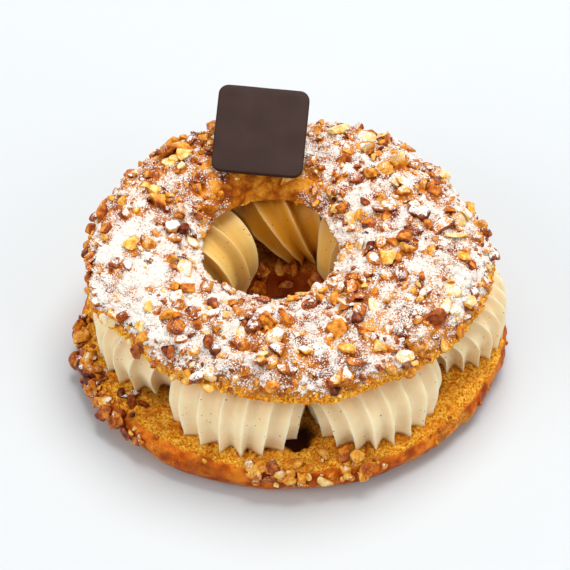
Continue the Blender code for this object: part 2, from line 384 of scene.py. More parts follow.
def ring_normals(grid):
    along = np.roll(grid, -1, axis=0) - np.roll(grid, 1, axis=0)
    across = np.roll(grid, -1, axis=1) - np.roll(grid, 1, axis=1)
    normals = np.cross(along, across)
    return normals / np.maximum(np.linalg.norm(normals, axis=-1, keepdims=True), 1e-12)


def fitted(points, node):
    """The points stretched to fill the node's box."""
    low, high = (np.array(corner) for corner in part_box(node))
    flat = points.reshape(-1, 3)
    own_low = flat.min(axis=0)
    own_high = flat.max(axis=0)
    return low + (points - own_low) * (high - low) / (own_high - own_low)


def unit(angle):
    return np.array((math.cos(angle), math.sin(angle)))


# ---------------------------------------------------------------- crusts


def wavy(angle, terms):
    return sum(height * np.cos(count * angle + math.radians(phase)) for count, height, phase in terms)


def section(inner, outer, height, profile):
    """Points of a ring's section. The profile holds shares of the way out from the hole and of the height."""
    return np.array([(*(inner + share * (outer - inner)), height * level) for share, level in profile])


def smooth_sections(outline, rows, columns, spacing, rounds):
    """Rounded sections of a ring. Each side of the outline takes points by its length times its spacing."""
    sections = []
    for step in range(rows):
        corners = outline(2.0 * math.pi * step / rows)
        loop = np.vstack([corners, corners[:1]])
        lengths = np.linalg.norm(np.diff(loop, axis=0), axis=1)
        total = np.concatenate([[0.0], np.cumsum(lengths * spacing)])
        wanted = np.arange(columns) / columns * total[-1]
        sections.append(np.stack([np.interp(wanted, total, loop[:, axis]) for axis in range(3)], axis=-1))
    grid = np.stack(sections)
    for _ in range(rounds):
        grid = 0.25 * np.roll(grid, 1, axis=1) + 0.5 * grid + 0.25 * np.roll(grid, -1, axis=1)
    return grid


class Crust:
    """A crust's fine surface, with ways to find a place on it. It starts smooth, fitted to the node's box."""

    def __init__(self, node, outline, rows, columns, spacing, rounds):
        self.node = node
        self.smooth = fitted(smooth_sections(outline, rows, columns, np.array(spacing), rounds), node)
        self.normals = ring_normals(self.smooth)
        low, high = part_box(node)
        self.middle = np.array((*(0.5 * (low + high)).xy, 0.0))

    def reach(self, points):
        return np.linalg.norm((points - self.middle)[..., :2], axis=-1)

    def roughen(self, lift):
        """Lifts each place off the smooth surface."""
        self.grid = self.smooth + self.normals * lift[..., None]
        self.grid[..., 2] = np.maximum(self.grid[..., 2], 0.0)
        self.normals = ring_normals(self.grid)

    def nearest(self, direction, values, wanted, allowed):
        """Row and column of the allowed place in this direction whose value is nearest to the wanted one."""
        row = int(round(direction / 360.0 * len(values))) % len(values)
        return row, int(np.argmin(np.where(allowed[row], np.abs(values[row] - wanted), 9.0)))

    def build(self, name, material, slot, **more):
        faces = ring_faces(*self.grid.shape[:2])
        more = dict(more, crumb=self.crumb, scorch=self.scorch)
        piece(name, self.grid, faces, material, slot, replaced=(self.node,), **more)


# ---------------------------------------------------------------- lid

LID_RADIUS = 50.2 * MM
LID_CENTRE = (0.2 * MM, -1.0 * MM)
LID_HOLE_RADIUS = 17.8 * MM
LID_HOLE_CENTRE = (-4.6 * MM, 3.6 * MM)
LID_CROWN = 9.8 * MM
LID_DENTS = (
    (27, 20, 1.2 * MM),
    (95, 30, 0.6 * MM),
    (215, 10, 2.2 * MM),
    (245, 8, 1.4 * MM),
    (310, 24, 0.8 * MM),
)
LID_ROWS = 500
LID_COLUMNS = 150
# Where sugar lies thicker, or thinner: direction, spread and how much.
SUGAR_DRIFTS = (
    (195.0, 45.0, 0.10),
    (235.0, 16.0, 0.06),
    (268.0, 22.0, -0.05),
    (315.0, 22.0, -0.09),
    (355.0, 40.0, 0.07),
    (130.0, 26.0, -0.25),
)
# The slope down to the hole at the back is nearly bare.
BARE_DIRECTION = 92.0
MOST_DUST = 0.88


def lid_outline(angle):
    radius = LID_RADIUS + wavy(angle, ((2, 1.5 * MM, 0), (5, 0.3 * MM, 40), (9, 0.3 * MM, 0)))
    radius -= drifts(np.degrees(angle), LID_DENTS)
    hole = LID_HOLE_RADIUS + wavy(angle, ((2, -0.5 * MM, 0), (3, 0.3 * MM, 100), (5, 0.3 * MM, 30)))
    crown = LID_CROWN + wavy(angle, ((1, 0.3 * MM, -90), (3, 0.4 * MM, 20), (5, 0.3 * MM, 80)))
    outer = np.array(LID_CENTRE) + radius * unit(angle)
    inner = np.array(LID_HOLE_CENTRE) + hole * unit(angle)
    easy = 0.5 - 0.5 * math.sin(angle)
    profile = (
        (0.988, 0.00),
        (1.000, 0.09),
        (0.994, 0.28),
        (0.965, 0.52),
        (0.905, 0.74),
        (0.800, 0.91),
        (0.640, 1.00),
        (0.440 + 0.04 * easy, 0.98),
        (0.255 + 0.055 * easy, 0.845),
        (0.125 + 0.045 * easy, 0.61),
        (0.035 + 0.03 * easy, 0.34),
        (0.000, 0.12),
        (0.012, 0.00),
    )
    return section(inner, outer, crown, profile)


class Lid(Crust):
    def __init__(self):
        super().__init__("top_crust", lid_outline, LID_ROWS, LID_COLUMNS, [1.0] * 12 + [0.16], 5)
        smooth, normals = self.smooth, self.normals
        height = smooth[..., 2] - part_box("top_crust")[0].z
        outward = ((smooth - self.middle)[..., :2] * normals[..., :2]).sum(axis=-1) / self.reach(smooth)
        upward = ease((normals[..., 2] + 0.15) / 0.5)
        flank = np.exp(-((height / (2.9 * MM)) ** 2)) * ease(outward / 0.5)
        rough = bumps(smooth, (0.62, 3.6, 23), (0.30, 2.1, 27), (0.26, 1.35, 31), (0.14, 0.8, 37))
        # Bits of nut under the sugar and caramel show as small lumps.
        lumps = ease((0.62 - pores(smooth, 2.3 * MM, 33)) / 0.42)
        lumps = lumps * ease(0.6 + 1.4 * noise(smooth, 5.0 * MM, 35))
        rough = rough + 0.75 * lumps - 0.25
        lift = 0.60 * MM * fractal(smooth, 9.0 * MM, 11, 2)
        lift = lift + rough * MM * (0.25 + 0.75 * upward)
        lift = lift + flank * bumps(smooth, (0.75 * MM, 3.2, 41), (0.55 * MM, 1.5, 43))
        lift = lift - 0.45 * MM * flank * ease((0.42 - pores(smooth, 1.25 * MM, 47)) / 0.30)
        below = ease((-normals[..., 2] - 0.3) / 0.4)
        self.roughen(lift * (1.0 - 0.8 * below))
        crumb = np.clip(flank * 1.5 - 0.15 + 0.35 * noise(smooth, 2.2 * MM, 53), 0.0, 1.0)
        self.crumb = np.clip(crumb + below, 0.0, 1.0)
        # How far each place is from the hole's edge (0) to the outer edge (1).
        far = np.linalg.norm((self.grid - self.grid.mean(axis=(0, 1)))[..., :2], axis=-1)
        least = far.min(axis=1, keepdims=True)
        self.shares = (far - least) / (far.max(axis=1, keepdims=True) - least)
        self.upper = self.normals[..., 2] > 0.05
        # The sugar fills hollows. It leaves the lower edge and the underside bare.
        direction = np.arange(LID_ROWS)[:, None] / LID_ROWS * 360.0 + np.zeros(LID_COLUMNS)
        dust = 0.66 + 0.22 * fractal(smooth, 7.0 * MM, 61, 2) + 0.20 * noise(smooth, 2.6 * MM, 67)
        dust = dust - 0.16 * np.clip(-rough, -0.6, 0.6) + drifts(direction, SUGAR_DRIFTS)
        bare = near_direction(direction, BARE_DIRECTION, 30.0) * ease((0.30 - self.shares) / 0.16)
        dust = dust - 0.80 * bare
        edge = np.exp(-((height / (2.5 * MM)) ** 2)) * ease(flank * 4.0)
        dust = dust * ease((self.normals[..., 2] + 0.05) / 0.40) * (1.0 - ease(edge * 1.5)) * (1.0 - below)
        self.dust = np.clip(dust, 0.0, MOST_DUST)
        self.scorch = np.zeros(self.dust.shape)

    def clear_and_shade_round(self, centre, reach, strength):
        """Caramel shows round a nut: less sugar and a crust darkened partly by painted shade, most on its
        lower, front side.
        """
        middle = centre + np.array((0.0, -0.22, -0.10)) * reach
        near = ease(1.5 - np.linalg.norm(self.grid - middle, axis=-1) / reach) * strength
        # Less sugar, and a darker crust that is partly painted shade.
        self.dust = np.clip(self.dust - 0.40 * near, 0.0, 0.95)
        self.scorch = np.clip(self.scorch + 0.40 * near * (1.0 - self.crumb), 0.0, 0.75)

    def spot(self, direction, share):
        """(point, normal, dust) in this direction, at a share of the way from the hole to the outer edge."""
        at = self.nearest(direction, self.shares, share, self.upper)
        return self.grid[at], self.normals[at], self.dust[at]


# ---------------------------------------------------------------- base

BASE_RADIUS = 54.6 * MM
BASE_CENTRE = (0.7 * MM, 0.2 * MM)
BASE_HOLE_RADIUS = 15.1 * MM
BASE_HEIGHT = 9.5 * MM
BASE_FOOT_INSET = 4.2 * MM
BASE_SWELLS = ((236, 22, 1.2 * MM), (278, 20, 0.8 * MM), (352, 16, 0.8 * MM))
BASE_ROWS = 480
BASE_COLUMNS = 124
# Reaches from the middle: the border between the ring's inner and outer side, where the rim's nuts and the
# cut face's crumbs start, where the cream lies, and how far out from the hole the crust is browned and
# darkened with painted shade.
RING_MIDLINE = 35.0 * MM
RIM_REACH = 47.5 * MM
CRUMB_REACH = 45.0 * MM
CREAM_OUTER = 46.5 * MM
CREAM_INNER = 19.0 * MM
BROWNED_AND_SHADED_REACH = 27.0 * MM
# Where the side is golden, and where it is browner: direction, spread and how much.
GOLDEN_SIDES = ((322.0, 26.0, 1.0), (228.0, 20.0, 0.8))
BROWN_SIDES = ((352.0, 14.0, 0.5), (247.0, 10.0, 1.0))
# A hollow between two shells: its reach from the middle, half length, half width, and degrees off the gap.
PIT_REACH = 41.6 * MM
PIT_LENGTH = 5.2 * MM
PIT_WIDTH = 4.6 * MM
PIT_OFFSET = 6.0
PIT_DEPTH = 2.4 * MM
# The front gap is the one after this shell.
FRONT_SHELL = 1


def base_outline(angle):
    radius = BASE_RADIUS + wavy(angle, ((2, 0.5 * MM, 0), (3, 0.4 * MM, 60), (7, 0.2 * MM, 20)))
    radius += drifts(np.degrees(angle), BASE_SWELLS)
    hole = BASE_HOLE_RADIUS + wavy(angle, ((2, 0.4 * MM, 80), (3, 0.3 * MM, 10)))
    outer = np.array(BASE_CENTRE) + radius * unit(angle)
    foot = 1.0 - BASE_FOOT_INSET / (radius - hole)
    profile = (
        (foot, 0.0),
        (0.960, 0.18),
        (0.990, 0.40),
        (1.000, 0.62),
        (0.986, 0.83),
        (0.955, 0.95),
        (0.910, 1.00),
        (0.500, 1.00),
        (0.085, 1.00),
        (0.058, 0.90),
        (0.040, 0.62),
        (0.020, 0.30),
        (0.000, 0.00),
    )
    return section(hole * unit(angle), outer, BASE_HEIGHT, profile)


class Base(Crust):
    def __init__(self):
        spacing = [1.0] * 6 + [0.70, 0.35] + [1.0] * 4 + [0.14]
        super().__init__("base_crust", base_outline, BASE_ROWS, BASE_COLUMNS, spacing, 3)
        smooth, normals = self.smooth, self.normals
        reach = self.reach(smooth)
        aside = smooth - self.middle
        angle = np.degrees(np.arctan2(aside[..., 1], aside[..., 0])) % 360.0
        level = smooth[..., 2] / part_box("base_crust")[1].z
        cut = ease((normals[..., 2] - 0.45) / 0.4)
        below = ease((-normals[..., 2] - 0.5) / 0.4)
        outside = ease((reach - RING_MIDLINE) / (5.0 * MM))
        side = (1.0 - cut) * (1.0 - below) * outside
        rim = np.exp(-(((level - 0.90) / 0.13) ** 2)) * outside
        lift = 0.50 * MM * fractal(smooth, 10.0 * MM, 71, 2) + 0.22 * MM * fractal(smooth, 3.5 * MM, 73, 2)
        lift = lift + cut * bumps(smooth, (0.50 * MM, 1.9, 79), (0.32 * MM, 1.0, 83))
        lift = lift - cut * 0.50 * MM * ease((0.45 - pores(smooth, 1.5 * MM, 89)) / 0.32)
        # Baking wrinkles the side, most on the right.
        wrinkled = side * (0.25 + 0.75 * near_direction(angle, 335.0, 45.0))
        lift = lift + wrinkled * 0.45 * MM * noise(smooth * np.array((1.0, 1.0, 0.25)), 2.4 * MM, 93)
        lift = lift + rim * bumps(smooth, (0.55 * MM, 3.0, 97), (0.35 * MM, 1.3, 101))
        lift = lift * (1.0 - below)
        # Under the cream the cut face stays flat, so that nothing pokes into the shells.
        covered = cut * ease((CREAM_OUTER - reach) / (4.0 * MM)) * ease((reach - CREAM_INNER) / (2.0 * MM))
        lift = lift * (1.0 - 0.85 * covered) - 0.15 * MM * covered
        # One mask sinks the hollows and also colours them with painted shade.
        self.pit = cut * self.pits()
        self.roughen(lift - PIT_DEPTH * self.pit)
        crumb = np.clip(cut * 1.15 + 0.45 * rim * noise(smooth, 2.5 * MM, 103), 0.0, 1.0)
        # The baked skin curls in over the cut face's edge, most at the front left.
        curl = (1.0 + 1.7 * near_direction(angle, 232.0, 34.0) + 0.8 * noise(smooth, 4.0 * MM, 115)) * MM
        curled = ease((reach - reach.max(axis=1)[:, None] + curl) / (0.7 * MM))
        pale_foot = ease((0.30 - level) / 0.25) * side
        golden = drifts(angle, GOLDEN_SIDES) * np.maximum(side, curled)
        golden = golden * ease(0.55 + 1.2 * noise(smooth, 5.0 * MM, 111))
        self.crumb = np.clip(crumb * (1.0 - curled) + 0.55 * pale_foot + 0.55 * golden, 0.0, 1.0)
        # Darker in and round the hole: the wall's browner crust, and painted shade on the wall and the nearby
        # cut face.
        hole_browning_and_shade = np.maximum((1.0 - outside) * (1.0 - cut), ease((BROWNED_AND_SHADED_REACH - reach) / (4.0 * MM)))
        spots = ease((fractal(smooth, 7.0 * MM, 107) - 0.12) / 0.5) * side
        browned = rim * ease(1.5 * noise(smooth, 6.0 * MM, 109)) + side * drifts(angle, BROWN_SIDES)
        self.scorch = np.clip(0.70 * spots + 0.72 * hole_browning_and_shade + 0.60 * browned, 0.0, 0.9)
        reach = self.reach(self.grid)
        self.rim = (self.normals[..., 2] > -0.6) & (reach > RIM_REACH)
        self.wall = (self.normals[..., 2] > -0.6) & (reach < RING_MIDLINE)

    def pits(self):
        """Hollows in the crumb where two shells stand apart, with painted shade. The deepest is at the front.
        """
        total = np.zeros(self.smooth.shape[:2])
        x, y = self.smooth[..., 0], self.smooth[..., 1]
        ragged = 0.25 * noise(self.smooth, 3.0 * MM, 113)
        for index, shell in enumerate(SHELLS):
            half = 0.5 * ((SHELLS[(index + 1) % len(SHELLS)][0] - shell[0]) % 360.0)
            cosine, sine = unit(math.radians(shell[0] + half - PIT_OFFSET))
            along = x * cosine + y * sine
            away = np.hypot((along - PIT_REACH) / PIT_LENGTH, (y * cosine - x * sine) / PIT_WIDTH) + ragged
            strength = 1.0 if index == FRONT_SHELL else 0.35
            total = np.maximum(total, strength * ease(2.0 * (1.15 - away)))
        return total

    def spot(self, direction, level, allowed):
        """(point, normal) in this direction, at a share of the crust's height, on its rim or in its hole."""
        at = self.nearest(direction, self.grid[..., 2], level * BASE_HEIGHT, allowed)
        return self.grid[at], self.normals[at]


# ---------------------------------------------------------------- cream

GAP = 0.3 * MM
SHELL_HINGE_RADIUS = 27.5 * MM
SHELL_OUTER_RADIUS = 52.2 * MM
SHELL_HALF_WIDTH = 17.0 * MM
SHELL_TOP_HALF_WIDTH = 13.2 * MM
SHELL_INNER_HALF_WIDTH = 6.6 * MM
SHELL_PINCH = 1.0 * MM
# How square the arch's shoulder is outside and inside, and how far each leg draws in to its foot.
SHELL_OUTER_SHOULDER = 4.0
SHELL_INNER_SHOULDER = 2.6
SHELL_OUTER_TUCK = 0.045
SHELL_INNER_TUCK = 0.14
SHELL_TUCK_END = 0.30
# Inside, the flutes merge in pairs to broader, deeper folds, between these two travels.
SHELL_FLUTE_DEPTH = 2.4 * MM
SHELL_FOOT_DEPTH = 3.2 * MM
SHELL_FOLD_DEPTH = 2.9 * MM
SHELL_FOLD_START = 0.80
SHELL_FOLD_END = 1.25
# Direction in degrees, flutes, nearest reach to the ring's middle, sweep of the inner leg, outward swell,
# lean of the flutes, twist of the folds and how much painted shade, dark and orange, the inner leg takes.
SHELLS = (
    (199.5, 16, 14.5 * MM, 0.0, -0.8 * MM, -4.0 * MM, 0.0, 0.50),
    (251.0, 16, 15.0 * MM, 1.0 * MM, 0.0, 0.5 * MM, -1.0 * MM, 0.50),
    (303.0, 18, 14.5 * MM, 0.0, 1.6 * MM, -2.5 * MM, 1.0 * MM, 0.50),
    (353.0, 22, 15.0 * MM, -1.0 * MM, 5.0 * MM, -2.5 * MM, 0.0, 0.40),
    (46.0, 18, 11.6 * MM, -3.0 * MM, 0.6 * MM, -2.0 * MM, 0.0, 0.36),
    (95.0, 18, 15.6 * MM, -6.0 * MM, -1.0 * MM, -2.0 * MM, -3.0 * MM, 1.00),
    (144.0, 18, 10.4 * MM, 1.0 * MM, 0.0, -2.0 * MM, 0.0, 0.48),
)
WALL_SWEEP_OUTER = 36.0 * MM
WALL_SWEEP_INNER = 14.0 * MM
# Places across one flute, from crest to crest: close together by the crest, which is sharp.
FLUTE_STEPS = (0.0, 0.035, 0.09, 0.17, 0.28, 0.42, 0.58, 0.72, 0.83, 0.91, 0.965)
LEG_RINGS = 34
# Painted shade colours the cream dark orange from this reach from the opening's middle inwards, over this
# length.
PAINTED_SHADE_REACH = 36.0 * MM
PAINTED_SHADE_FADE = 13.0 * MM


def even_loop(half_long, half_wide, squareness, wanted_shares, shift):
    """Points at these shares of the rim of a superellipse. shift is a length along the rim."""
    angles = np.linspace(0.0, 2.0 * math.pi, 721)
    power = 2.0 / squareness
    long = half_long * np.sign(np.cos(angles)) * np.abs(np.cos(angles)) ** power
    side = half_wide * np.sign(np.sin(angles)) * np.abs(np.sin(angles)) ** power
    lengths = np.concatenate([[0.0], np.cumsum(np.hypot(np.diff(long), np.diff(side)))])
    wanted = (wanted_shares * lengths[-1] + shift) % lengths[-1]
    return np.interp(wanted, lengths, long), np.interp(wanted, lengths, side)


def shell_section(tail_end, swell, travel, height):
    """The cut through a shell at travel: 0 at its outer foot, 1 at its top and 2 at its inner foot.

    It gives the tilt of the cut, its far reach from the hinge line, and its half width.
    """
    if travel <= 1.0:
        leg = SHELL_OUTER_RADIUS + swell - SHELL_HINGE_RADIUS
        power, tuck = SHELL_OUTER_SHOULDER, SHELL_OUTER_TUCK
        wide = blend(SHELL_HALF_WIDTH, SHELL_TOP_HALF_WIDTH, ease(2.0 * travel - 1.0))
    else:
        leg = SHELL_HINGE_RADIUS - tail_end
        power, tuck = SHELL_INNER_SHOULDER, SHELL_INNER_TUCK
        wide = blend(SHELL_TOP_HALF_WIDTH, SHELL_INNER_HALF_WIDTH, ease(travel - 1.0))
    tilt = 0.5 * math.pi * travel
    total = (abs(math.cos(tilt)) / leg) ** power + (abs(math.sin(tilt)) / height) ** power
    kept = 1.0 - tuck * (1.0 - ease(min(travel, 2.0 - travel) / SHELL_TUCK_END))
    return tilt, kept * total ** (-1.0 / power), kept * wide


def opening_middle():
    """The middle of the ring's opening, in plan."""
    low, high = (np.array(corner) for corner in frame["record"]["physics"]["openings"][0]["box_m"])
    return (0.5 * (low + high))[:2]


def wall_angle(radius, rise, middle, sweep):
    """Where one shell meets the next. Towards the hole and the floor it bends with the inner legs."""
    inward = ease((WALL_SWEEP_OUTER - radius) / (WALL_SWEEP_OUTER - WALL_SWEEP_INNER))
    return middle + sweep * inward * (1.0 - 0.8 * rise)


def placed_in_ring(index, x, y, z, height):
    """Points beside a shell moved to its place in the ring. Walls keep it off its neighbours."""
    heading, bend = SHELLS[index][0], SHELLS[index][3]
    before = SHELLS[index - 1]
    after = SHELLS[(index + 1) % len(SHELLS)]
    half_before = math.radians(((heading - before[0]) % 360.0) / 2.0)
    half_after = math.radians(((after[0] - heading) % 360.0) / 2.0)
    sweep_scale = 0.5 / WALL_SWEEP_INNER
    z = np.clip(z, 0.0, height)
    radius = np.hypot(x, y)
    spare = 0.55 * GAP / radius
    low = wall_angle(radius, z / height, -half_before, (bend + before[3]) * sweep_scale) + spare
    high = wall_angle(radius, z / height, half_after, (bend + after[3]) * sweep_scale) - spare
    turn = np.clip(np.arctan2(y, x), low, high) + math.radians(heading)
    return np.stack([radius * np.cos(turn), radius * np.sin(turn), z], axis=-1)


def cream_shell(index, material):
    """A fluted arch: rings of points from its outer foot, over its top, to its inner foot."""
    node = f"cream_shell_{index + 1}"
    flutes, tail_end, bend, swell, lean, twist, painted_shade_share = SHELLS[index][1:]
    low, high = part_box(node)
    height = high.z - low.z
    steps = np.array([flute + place for flute in range(flutes) for place in FLUTE_STEPS])
    narrow = np.sin(math.pi * (steps % 1.0))
    broad = np.sin(0.5 * math.pi * (steps % 2.0))
    rings = []
    ridges = []
    for ring in range(2 * LEG_RINGS + 1):
        travel = ring / LEG_RINGS
        tilt, far, wide = shell_section(tail_end, swell, travel, height)
        middle = 0.5 * (SHELL_PINCH + far)
        half_long = 0.5 * (far - SHELL_PINCH)
        squareness = blend(2.1, 2.7, ease(2.0 * travel))
        shift = -lean * (1.0 - min(travel, 1.0)) + twist * ease(travel - 1.0)
        swept = bend * ease((travel - 0.8) / 1.2)
        long, side = even_loop(half_long, wide, squareness, steps / flutes, shift)
        merged = ease((travel - SHELL_FOLD_START) / (SHELL_FOLD_END - SHELL_FOLD_START))
        flute_depth = blend(SHELL_FOOT_DEPTH, SHELL_FLUTE_DEPTH, ease(travel / 0.30))
        groove = blend(flute_depth * narrow, SHELL_FOLD_DEPTH * broad, merged)
        depth = groove * np.minimum(1.0, np.maximum(middle + long, 0.0) / (8.0 * MM))
        scale = 1.0 - depth / np.maximum(np.hypot(long, side), 1e-5)
        reach = middle + long * scale
        outward = SHELL_HINGE_RADIUS + reach * math.cos(tilt)
        rings.append(placed_in_ring(index, outward, side * scale + swept, reach * math.sin(tilt), height))
        ridges.append((1.0 - blend(narrow, broad, merged)) ** 2)
    grid = fitted(np.stack(rings), node)
    # The last two values of each attribute are those of the two points that close the ends.
    crest = np.append(np.concatenate(ridges), (0.0, 0.0))
    # Painted shade, strongest near the opening's middle.
    from_middle = np.linalg.norm(grid[..., :2] - opening_middle(), axis=-1)
    inner = painted_shade_share * ease((PAINTED_SHADE_REACH - from_middle) / PAINTED_SHADE_FADE)
    inner = np.append(inner.ravel(), (0.0, painted_shade_share))
    # The shell's foot and top stay level, where it touches the crusts.
    level = grid[..., 2]
    loose = np.clip((level - low.z) / (1.0 * MM), 0.0, 1.0) * np.clip((high.z - level) / (0.5 * MM), 0.0, 1.0)
    seed = 200 + 10 * index
    wobble = 0.16 * MM * shaken(grid, 5.0 * MM, seed) + 0.05 * MM * shaken(grid, 1.7 * MM, seed + 5)
    grid = grid + wobble * loose[..., None]
    points = np.vstack([grid.reshape(-1, 3), grid[0].mean(axis=0), grid[-1].mean(axis=0)])
    name = f"piped_cream_{index + 1}"
    faces = capped_faces(*grid.shape[:2])
    piece(name, points, faces, material, "praline_cream", replaced=(node,), crest=crest, inner=inner)


# ---------------------------------------------------------------- plaque

PLAQUE_SIDE = 23.8 * MM
PLAQUE_THICKNESS = 1.7 * MM
PLAQUE_CORNER_RADIUS = 2.7 * MM
PLAQUE_EDGE = 0.45 * MM
PLAQUE_SLOPE = math.radians(28.0)
PLAQUE_TURN = math.radians(-5.6)
CORNER_STEPS = 14
SIDE_STEPS = 26
EDGE_STEPS = 6
# Rings on the plaque's faces, as shares of the way from the edge to the middle.
FACE_RINGS = (0.15, 0.35, 0.55, 0.75, 0.90)


def plaque_outline(inset):
    """A square with rounded corners, drawn in by inset."""
    middles = (0.5 * PLAQUE_SIDE - PLAQUE_CORNER_RADIUS) * np.array([(1, 1), (-1, 1), (-1, -1), (1, -1)])
    radius = PLAQUE_CORNER_RADIUS - inset
    points = []
    for quarter in range(4):
        for step in range(CORNER_STEPS):
            points.append(middles[quarter] + radius * unit(0.5 * math.pi * (quarter + step / CORNER_STEPS)))
        outward = radius * unit(0.5 * math.pi * (quarter + 1))
        start, end = middles[quarter] + outward, middles[(quarter + 1) % 4] + outward
        points += [blend(start, end, step / SIDE_STEPS) for step in range(SIDE_STEPS)]
    return np.array(points)


def chocolate_plaque(material):
    """A rounded square wafer with softened edges. Its rings run from the underside's middle to the top's."""
    turns = np.linspace(0.0, 0.5 * math.pi, EDGE_STEPS)
    half = [(1.0, PLAQUE_EDGE * (1.0 - math.cos(a)), PLAQUE_EDGE * (1.0 - math.sin(a))) for a in turns]
    half += [(1.0 - share, PLAQUE_EDGE, 0.0) for share in FACE_RINGS]
    levels = [(scale, inset, deep - PLAQUE_THICKNESS) for scale, inset, deep in reversed(half)]
    levels += [(scale, inset, -deep) for scale, inset, deep in half]
    columns = 4 * (CORNER_STEPS + SIDE_STEPS)
    rings = []
    for scale, inset, z in levels:
        rings.append(np.column_stack([plaque_outline(inset) * scale, np.full(columns, z)]))
    points = np.vstack([*rings, [(0, 0, -PLAQUE_THICKNESS)], [(0, 0, 0)]])
    # A slight waviness, as poured chocolate has.
    points[:, 2] += 0.05 * MM * noise(points * np.array((1.0, 1.0, 0.0)) + 0.1, 9.0 * MM, 301)
    points[:, :2] += 0.04 * MM * np.stack([noise(points, 5.0 * MM, seed) for seed in (303, 305)], axis=-1)
    turn = np.array(Matrix.Rotation(PLAQUE_SLOPE, 3, "X") @ Matrix.Rotation(PLAQUE_TURN, 3, "Z"))
    points = fitted(points @ turn.T, "chocolate_plaque")
    faces = capped_faces(len(rings), columns)
    piece("plain_plaque", points, faces, material, "dark_chocolate", replaced=("chocolate_plaque",))


# ---------------------------------------------------------------- toppings

# Chunks on the lid: length and how many, largest first so that each finds room.
NUT_SIZES = ((5.2 * MM, 14), (4.6 * MM, 34), (4.0 * MM, 56), (3.3 * MM, 80))
BIT_SIZES = ((2.6 * MM, 95), (1.9 * MM, 150), (1.3 * MM, 230))
# Where chunks gather on the lid, or keep away: direction, spread and how much.
NUT_DRIFTS = ((195.0, 40.0, -0.25), (150.0, 25.0, 0.15), (20.0, 50.0, 0.15), (270.0, 40.0, 0.10))
# Clusters of nuts on the rim of the lower crust: direction, spread, large and small chunks, how much lighter.
RIM_CLUSTERS = ((203.0, 12.0, 60, 110, -0.13), (269.0, 5.0, 14, 26, 0.08), (285.0, 5.0, 7, 16, 0.08))
WALL_NUTS = 13
SCATTERED_NUTS = 60
FLAKES = 18
RIM_BITS = 230
HOLE_BITS = 70
LID_CRUMBS = 800
CUT_FACE_CRUMBS = 900
SUGAR_GRAINS = 24000
# On the lid, chunks longer than these take finer balls. Those up to the coarse length sink in deeper.
FINE_LENGTH = 4.4 * MM
COARSE_LENGTH = 2.2 * MM


def ball(subdivisions):
    shape = bmesh.new()
    bmesh.ops.create_icosphere(shape, subdivisions=subdivisions, radius=1.0)
    points = np.array([vert.co for vert in shape.verts])
    faces = np.array([[vert.index for vert in face.verts] for face in shape.faces])
    shape.free()
    return points, faces


BALLS = {detail: ball(detail) for detail in (2, 3, 4)}


def frame_of(normal, lean, random):
    """Three axes: the longest lies along the surface, turned at random, and the last points off it."""
    up = normal + lean * random.normal(size=3)
    up = up / np.linalg.norm(up)
    side = np.cross(up, (0.3, 1.0, 0.2))
    side = side / np.linalg.norm(side)
    other = np.cross(up, side)
    spin = random.uniform(0.0, 2.0 * math.pi)
    first = math.cos(spin) * side + math.sin(spin) * other
    return np.stack([first, np.cross(up, first), up])


class Places:
    """Places already taken, so that scattered pieces don't lie inside one another."""

    def __init__(self):
        self.centres = np.empty((0, 3))
        self.rooms = np.empty(0)

    def free(self, centre, room):
        return bool((np.linalg.norm(self.centres - centre, axis=1) > self.rooms + room).all())

    def take(self, centre, room):
        self.centres = np.vstack([self.centres, centre])
        self.rooms = np.append(self.rooms, room)


class Pile:
    """Chunks gathered into one mesh."""

    def __init__(self):
        self.points = []
        self.faces = []
        self.tone = []
        self.dust = []
        self.count = 0

    def add(self, points, faces, tone, dust):
        self.points.append(points)
        self.faces.append(faces + self.count)
        self.tone.append(tone)
        self.dust.append(np.clip(dust, 0.0, MOST_DUST))
        self.count += len(points)

    def build(self, name, material, slot, **more):
        """One piece of all the chunks. more is attributes that have one value all over."""
        faces = np.vstack(self.faces).tolist()
        more = {label: np.full(self.count, value) for label, value in more.items()}
        more = dict(more, tone=np.concatenate(self.tone), dust=np.concatenate(self.dust))
        piece(name, np.vstack(self.points), faces, material, slot, crisp=32.0, **more)


def detail_of(length):
    return 2 + (length > COARSE_LENGTH) + (length > FINE_LENGTH)


def chunk(pile, centre, normal, length, tone, random, detail, dust, sink):
    """A broken piece of nut, resting on its broad side. Its broken faces are paler than its skin."""
    points, faces = BALLS[detail]
    wide = random.uniform(0.60, 0.88)
    thick = wide * random.uniform(0.66, 0.92)
    shape = points.copy()
    shade = np.zeros(len(points))
    for _ in range(random.integers(5, 10)):
        cut = random.normal(size=3)
        cut = cut / np.linalg.norm(cut)
        over = np.maximum(shape @ cut - random.uniform(0.36, 0.80), 0.0)
        shape = shape - 0.97 * over[:, None] * cut
        shade = np.where(over > 0.0, random.uniform(-0.12, 0.20), shade)
    moved = points + random.uniform(-50, 50, 3)
    shape = shape * (1.22 + 0.20 * noise(moved, 0.8, 401) + 0.08 * noise(moved, 0.3, 403))[:, None]
    shape = shape * np.array((1.0, wide, thick)) * 0.5 * length
    axes = frame_of(normal, 0.25, random)
    # Each chunk's tone is darker towards its bottom.
    darker_below = 0.22 * ease(-shape[:, 2] / (0.25 * thick * length))
    placed = centre + shape @ axes + normal * (0.5 - sink) * thick * length
    outward = (points / np.array((1.0, wide, thick))) @ axes
    outward = outward / np.linalg.norm(outward, axis=1, keepdims=True)
    cover = dust * ease((outward[:, 2] - 0.05) / 0.8) * (0.80 + 0.6 * noise(placed, 1.6 * MM, 409))
    pile.add(placed, faces, tone + shade - darker_below, cover)


